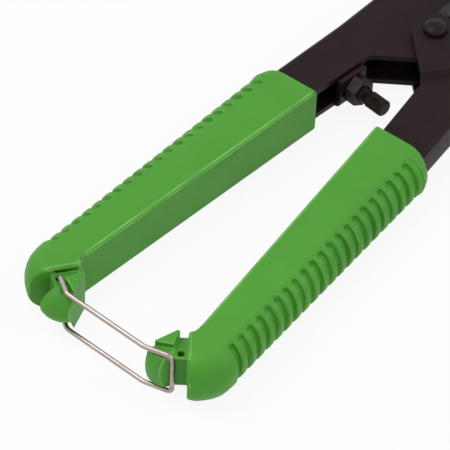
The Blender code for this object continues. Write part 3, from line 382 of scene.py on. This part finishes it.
def knurledScrew(settings):
    joint = jointOf["lock_nut_turn"]
    axis = Vector(joint["axis"]).normalized()
    spot = Vector(joint["pos_m"])
    along = [(vert.co - spot).dot(axis) for vert in nodes["stop_screw"].data.vertices]
    top = max(along)
    tail = min(along)
    chamfer = settings["chamfer"]
    head = settings["headRadius"]
    radius = settings["radius"]
    knurlTop = top - chamfer
    knurlCount = int((settings["knurlLength"] - 2.0 * chamfer) / settings["knurlStep"])
    neckEnd = top - settings["knurlLength"]
    nutFace = top - settings["reach"] + settings["nutThickness"]
    profile = [(0.0, top), (head - chamfer, top)]
    profile += [(head, knurlTop - settings["knurlStep"] * number) for number in range(knurlCount + 1)]
    knurlFoot = profile[-1][1]
    profile.append((radius - chamfer, neckEnd))
    height = neckEnd
    while height - settings["threadPitch"] > nutFace:
        profile.append((radius, height - settings["threadPitch"] * 0.5))
        height -= settings["threadPitch"]
        profile.append((radius - settings["threadDepth"], height))
    profile += [(radius, nutFace), (radius, tail + chamfer), (radius - chamfer, tail), (0.0, tail)]
    shape = bmesh.new()
    spots = [shape.verts.new((place[0], 0.0, place[1])) for place in profile]
    lines = [shape.edges.new(pair) for pair in zip(spots, spots[1:])]
    bmesh.ops.spin(shape, geom=spots + lines, cent=(0.0, 0.0, 0.0), axis=(0.0, 0.0, 1.0),
                   dvec=(0.0, 0.0, 0.0), angle=2.0 * math.pi, steps=settings["around"],
                   use_merge=True, use_duplicate=False)
    bmesh.ops.remove_doubles(shape, verts=shape.verts, dist=settings["weld"])
    wearAndHighlight = shape.faces.layers.float.new("edgeWearAndHighlight")
    low = set()
    step = 2.0 * math.pi / settings["around"]
    slack = settings["slack"]
    for vert in shape.verts:
        if knurlFoot - slack <= vert.co.z <= knurlTop + slack and vert.co.xy.length > head - slack:
            number = round((knurlTop - vert.co.z) / settings["knurlStep"])
            place = round(math.atan2(vert.co.y, vert.co.x) / step)
            if (number + place) % 2:
                low.add(vert)
    # the whole knurl band is drawn part way to the paler edge colour
    for face in list(shape.faces):
        corners = [vert for vert in face.verts if vert in low]
        if len(face.verts) == 4 and len(corners) == 2:
            face[wearAndHighlight] = settings["knurlPaleShare"]
            if not shape.edges.get(corners):
                bmesh.utils.face_split(face, corners[0], corners[1])
    for vert in low:
        vert.co.xy = vert.co.xy * (1.0 - settings["knurlHeight"] / head)
    bmesh.ops.recalc_face_normals(shape, faces=shape.faces)
    turned = axis.to_track_quat("Z", "Y").to_matrix().to_4x4()
    bmesh.ops.transform(shape, matrix=Matrix.Translation(spot) @ turned, verts=shape.verts)
    return makePiece("stop_screw", shape, phosphate, settings["hardDegrees"])


knurledScrew(stopScrew)
print("stop screw knurled")

pressed = {"edge": 0.00028, "segments": 3, "hardDegrees": 34.0}
turnedEdge = {"edge": 0.00015, "segments": 2, "hardDegrees": 34.0}
hexEdge = {"edge": 0.00035, "segments": 2, "hardDegrees": 34.0}
drawn = {"edge": 0.00010, "segments": 1, "hardDegrees": 60.0}
ground = {"edge": 0.00008, "segments": 1, "hardDegrees": 30.0}

dress("anvil_lever", leverEnamel, pressed)
dress("blade_lever", leverEnamel, pressed)
for nodeName in ("pivot_rivet", "anvil_jaw_pin", "blade_jaw_pin"):
    dress(nodeName, oilBlack, turnedEdge)
dress("latch_bail", drawnWire, drawn)
dress("lock_nut", phosphate, hexEdge)
for nodeName in ("anvil_strap_bolt", "blade_strap_bolt", "blade_jaw_spacer_upper", "blade_jaw_spacer_lower",
                 "anvil_pin_rear", "anvil_pin_front"):
    dress(nodeName, zincPlate, turnedEdge)
for nodeName in ("anvil_strap_nut", "blade_strap_nut"):
    dress(nodeName, zincPlate, hexEdge)
dress("anvil_jaw", forgedSteel, pressed)
dress("blade_jaw", groundSteel, ground)
dress("anvil", brassStrip, turnedEdge)
for nodeName in ("upper_strap", "lower_strap"):
    dress(nodeName, oilBlack, pressed)

# Opening spring, whose legs bear on the anvil lever and the blade lever: dressed and fixed where it stands,
# riding with neither lever.
springSkin = dress("opening_spring", springWire, drawn, rides=False)
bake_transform(springSkin)
print("solids dressed")

# Stage: a white board that keeps a faint shadow, one broad lamp overhead and a fill from the camera's side.
stage = {"floorHalf": 3.0, "floorDrop": 0.0002, "floorColour": "#F2F2F2", "floorRoughness": 0.9,
         "whiteShare": 0.90, "skyLight": 0.55, "lampAim": (-0.06, 0.0, 0.0),
         "lampPlace": (-0.25, 0.45, 0.9), "lampSize": 0.7, "lampPower": 4.2,
         "fillPlace": (0.35, -0.65, 0.55), "fillSize": 0.6, "fillPower": 1.8}
floorShape = bmesh.new()
bmesh.ops.create_grid(floorShape, x_segments=1, y_segments=1, size=stage["floorHalf"])
bmesh.ops.translate(floorShape, vec=(0.0, 0.0, -stage["floorDrop"]), verts=floorShape.verts)
floorMesh = bpy.data.meshes.new("floor")
floorShape.to_mesh(floorMesh)
floorShape.free()
floor = bpy.data.objects.new("floor", floorMesh)
scene.collection.objects.link(floor)
floorPaint = bpy.data.materials.new("matt white board")
floorPaint.use_nodes = True
floorTree = floorPaint.node_tree
floorShader = floorTree.nodes["Principled BSDF"]
floorShader.inputs["Base Color"].default_value = toLinear(stage["floorColour"])
floorShader.inputs["Roughness"].default_value = stage["floorRoughness"]
floorShader.inputs["Specular IOR Level"].default_value = 0.0
floorMesh.materials.append(floorPaint)

world = bpy.data.worlds.new("studio")
scene.world = world
world.use_nodes = True
skyTree = world.node_tree
skyTree.nodes.clear()


def seenDirectly(tree):
    rays = addNode(tree, "ShaderNodeLightPath")
    seen = addNode(tree, "ShaderNodeMath", {
        0: rays.outputs["Is Camera Ray"], 1: rays.outputs["Is Glossy Ray"]}, operation="MAXIMUM")
    seenThrough = addNode(tree, "ShaderNodeMath", {
        0: seen.outputs["Value"], 1: rays.outputs["Is Transmission Ray"]}, operation="MAXIMUM")
    return seenThrough.outputs["Value"]


strength = addNode(skyTree, "ShaderNodeMapRange", {
    "Value": seenDirectly(skyTree), "To Min": stage["skyLight"], "To Max": 1.0})
sky = addNode(skyTree, "ShaderNodeBackground", {
    "Color": (1.0, 1.0, 1.0, 1.0), "Strength": strength.outputs["Result"]})
addNode(skyTree, "ShaderNodeOutputWorld", {"Surface": sky.outputs["Background"]})

whiteShare = addNode(floorTree, "ShaderNodeMath", {0: seenDirectly(floorTree), 1: stage["whiteShare"]},
                     operation="MULTIPLY")
glow = addNode(floorTree, "ShaderNodeEmission", {"Color": (1.0, 1.0, 1.0, 1.0), "Strength": 1.0})
floorMix = addNode(floorTree, "ShaderNodeMixShader", {
    0: whiteShare.outputs["Value"], 1: floorShader.outputs["BSDF"], 2: glow.outputs["Emission"]})
floorTree.links.new(floorMix.outputs["Shader"], floorTree.nodes["Material Output"].inputs["Surface"])


def addLamp(name, place, aim, size, power):
    data = bpy.data.lights.new(name, "AREA")
    data.shape = "DISK"
    data.size = size
    data.energy = power
    lamp = bpy.data.objects.new(name, data)
    lamp.location = place
    lamp.rotation_euler = (Vector(aim) - Vector(place)).to_track_quat("-Z", "Y").to_euler()
    scene.collection.objects.link(lamp)


addLamp("broadLamp", stage["lampPlace"], stage["lampAim"], stage["lampSize"], stage["lampPower"])
addLamp("fillLamp", stage["fillPlace"], stage["lampAim"], stage["fillSize"], stage["fillPower"])

# Camera: place and turn found by matching corners of the grips and the rivet with the photograph.
photoView = {"aim": (-0.09876, 0.00242, 0.0081), "elevation": 46.26, "yaw": 53.30, "roll": -2.37,
             "distance": 1.0, "focalPixels": 3472.6, "framePixels": 450.0, "sensor": 36.0,
             "nearest": 0.05, "farthest": 20.0}
tilt = math.radians(photoView["elevation"])
turn = math.radians(photoView["yaw"])
roll = math.radians(photoView["roll"])
levelRight = Vector((math.cos(turn), -math.sin(turn), 0.0))
away = Vector((math.sin(turn), math.cos(turn), 0.0))
up = Vector((0.0, 0.0, 1.0))
sight = away * math.cos(tilt) - up * math.sin(tilt)
levelUp = away * math.sin(tilt) + up * math.cos(tilt)
right = levelRight * math.cos(roll) - levelUp * math.sin(roll)
upright = levelRight * math.sin(roll) + levelUp * math.cos(roll)
eye = Vector(photoView["aim"]) - sight * photoView["distance"]
lens = bpy.data.cameras.new("photoCamera")
lens.sensor_width = photoView["sensor"]
lens.lens = photoView["focalPixels"] / photoView["framePixels"] * photoView["sensor"]
lens.clip_start = photoView["nearest"]
lens.clip_end = photoView["farthest"]
camera = bpy.data.objects.new("photoCamera", lens)
camera.matrix_world = Matrix((
    (right.x, upright.x, -sight.x, eye.x),
    (right.y, upright.y, -sight.y, eye.y),
    (right.z, upright.z, -sight.z, eye.z),
    (0.0, 0.0, 0.0, 1.0)))
scene.collection.objects.link(camera)
scene.camera = camera
print("stage, lamps and camera set")

bpy.context.view_layer.update()
